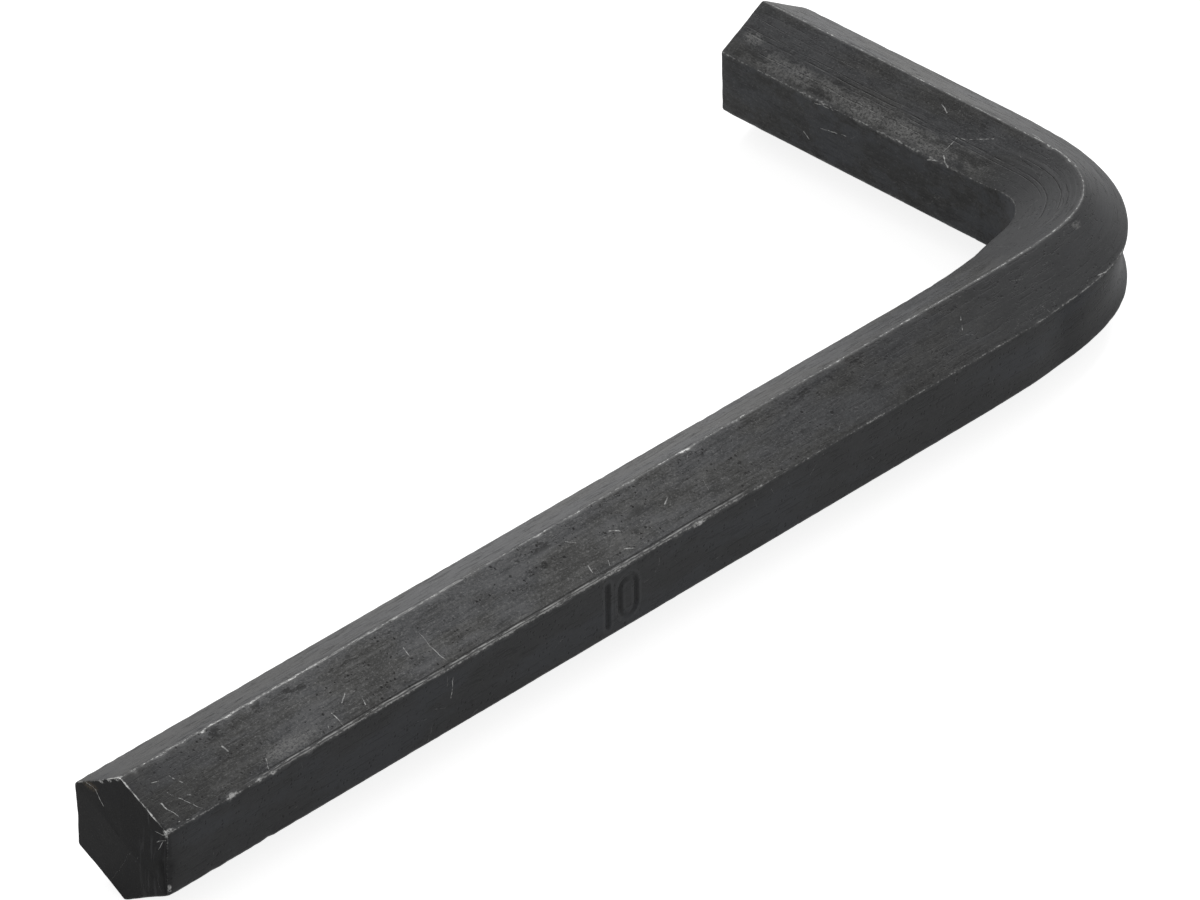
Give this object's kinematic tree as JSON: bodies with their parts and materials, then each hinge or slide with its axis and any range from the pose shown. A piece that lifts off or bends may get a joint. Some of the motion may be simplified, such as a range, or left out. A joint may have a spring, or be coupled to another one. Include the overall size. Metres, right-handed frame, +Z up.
{
  "type": "hex key",
  "caption": "L-shaped hexagonal bar key that turns socket-head screws, with a long arm and a short arm.",
  "frame": {"origin": "on the surface the key lies on, under the middle of its overall length and width", "axes": "+X along the long arm from its tip to the elbow, +Y along the short arm from the elbow to its tip, +Z up"},
  "size_m": [0.118, 0.0474, 0.0114],
  "materials": {
    "black_steel": "black oxide on drawn steel bar, with bare worn corners"
  },
  "bodies": {
    "root": {"hex_key": "black_steel"}
  },
  "joints": []
}
